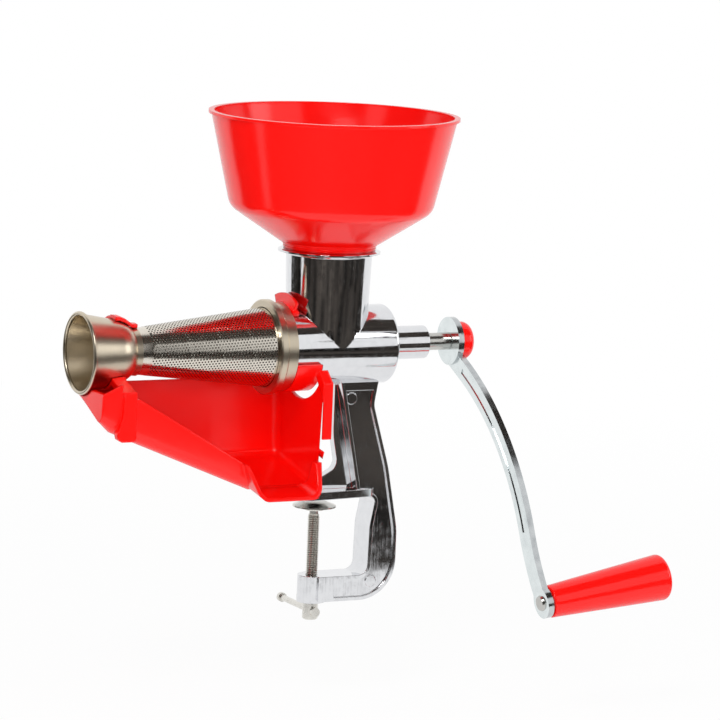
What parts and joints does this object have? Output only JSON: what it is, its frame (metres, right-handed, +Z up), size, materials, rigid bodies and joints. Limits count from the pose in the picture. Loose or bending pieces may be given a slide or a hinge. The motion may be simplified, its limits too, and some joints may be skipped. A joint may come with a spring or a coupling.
{
  "type": "hand-cranked tomato strainer",
  "caption": "Clamp-on hand-cranked food strainer with a funnel hopper, perforated cone, waste trumpet, juice chute and bent crank.",
  "frame": {"origin": "centre of the clamp screw's axis on the platen's underside, the face that rests on the table", "axes": "+Z up; +X along the auger towards the crank; the clamp opens towards -X and the juice runs off towards -Y"},
  "size_m": [0.4647, 0.2444, 0.409],
  "materials": {
    "cast_aluminium": "mirror polished casting",
    "red_plastic": "glossy injection moulding",
    "auger_plastic": "smooth injection moulding",
    "bush_plastic": "turned plastic",
    "champagne_steel": "satin, warm tinted",
    "perforated_steel": "polished sheet with punched holes",
    "stainless_steel": "turned",
    "zinc_steel": "bright zinc plated",
    "screw_steel": "plated thread",
    "seal_rubber": "moulded"
  },
  "bodies": {
    "frame": {"body_casting": "cast_aluminium", "shaft_bush": "bush_plastic", "shaft_seal": "seal_rubber", "bayonet_pins": "stainless_steel", "cone_gasket": "seal_rubber", "collar_ring": "champagne_steel", "strainer_cone": "perforated_steel", "waste_trumpet": "champagne_steel", "juice_chute": "red_plastic"},
    "crank": {"auger": "auger_plastic", "auger_spring": "stainless_steel", "drive_shaft": "stainless_steel", "thrust_washer": "stainless_steel", "crank_arm": "zinc_steel", "crank_knob": "red_plastic", "knob_stud": "stainless_steel", "grip_pin": "stainless_steel", "grip_washer": "zinc_steel"},
    "grip": {"grip": "red_plastic"},
    "hopper": {"hopper": "red_plastic"},
    "pad": {"clamp_pad": "zinc_steel"},
    "screw": {"clamp_screw": "screw_steel"},
    "tommy_bar": {"tommy_bar": "screw_steel", "tommy_bar_cap": "screw_steel"}
  },
  "joints": [
    {"name": "crank_turn", "type": "hinge", "parent": "frame", "child": "crank", "pos_m": [0.115, 0, 0.1227], "axis": [1, 0, 0], "continuous": true},
    {"name": "grip_spin", "type": "hinge", "parent": "crank", "child": "grip", "pos_m": [0.14247, -0.12563, -0.07032], "axis": [0.99, 0, 0.1409], "continuous": true},
    {"name": "hopper_lift", "type": "slide", "parent": "frame", "child": "hopper", "axis": [0, 0, 1], "range_m": [0, 0.06]},
    {"name": "pad_lift", "type": "slide", "parent": "frame", "child": "pad", "axis": [0, 0, 1], "range_m": [-0.05, 0]},
    {"name": "screw_turn", "type": "hinge", "parent": "pad", "child": "screw", "pos_m": [0, 0, -0.05], "axis": [0, 0, 1], "range_deg": [-11990, 0]},
    {"name": "tommy_slide", "type": "slide", "parent": "screw", "child": "tommy_bar", "axis": [0, 1, 0], "range_m": [-0.041, 0]}
  ],
  "couplings": [
    {"joint": "pad_lift", "follows": "screw_turn", "m_per_rad": 0.00023873}
  ]
}
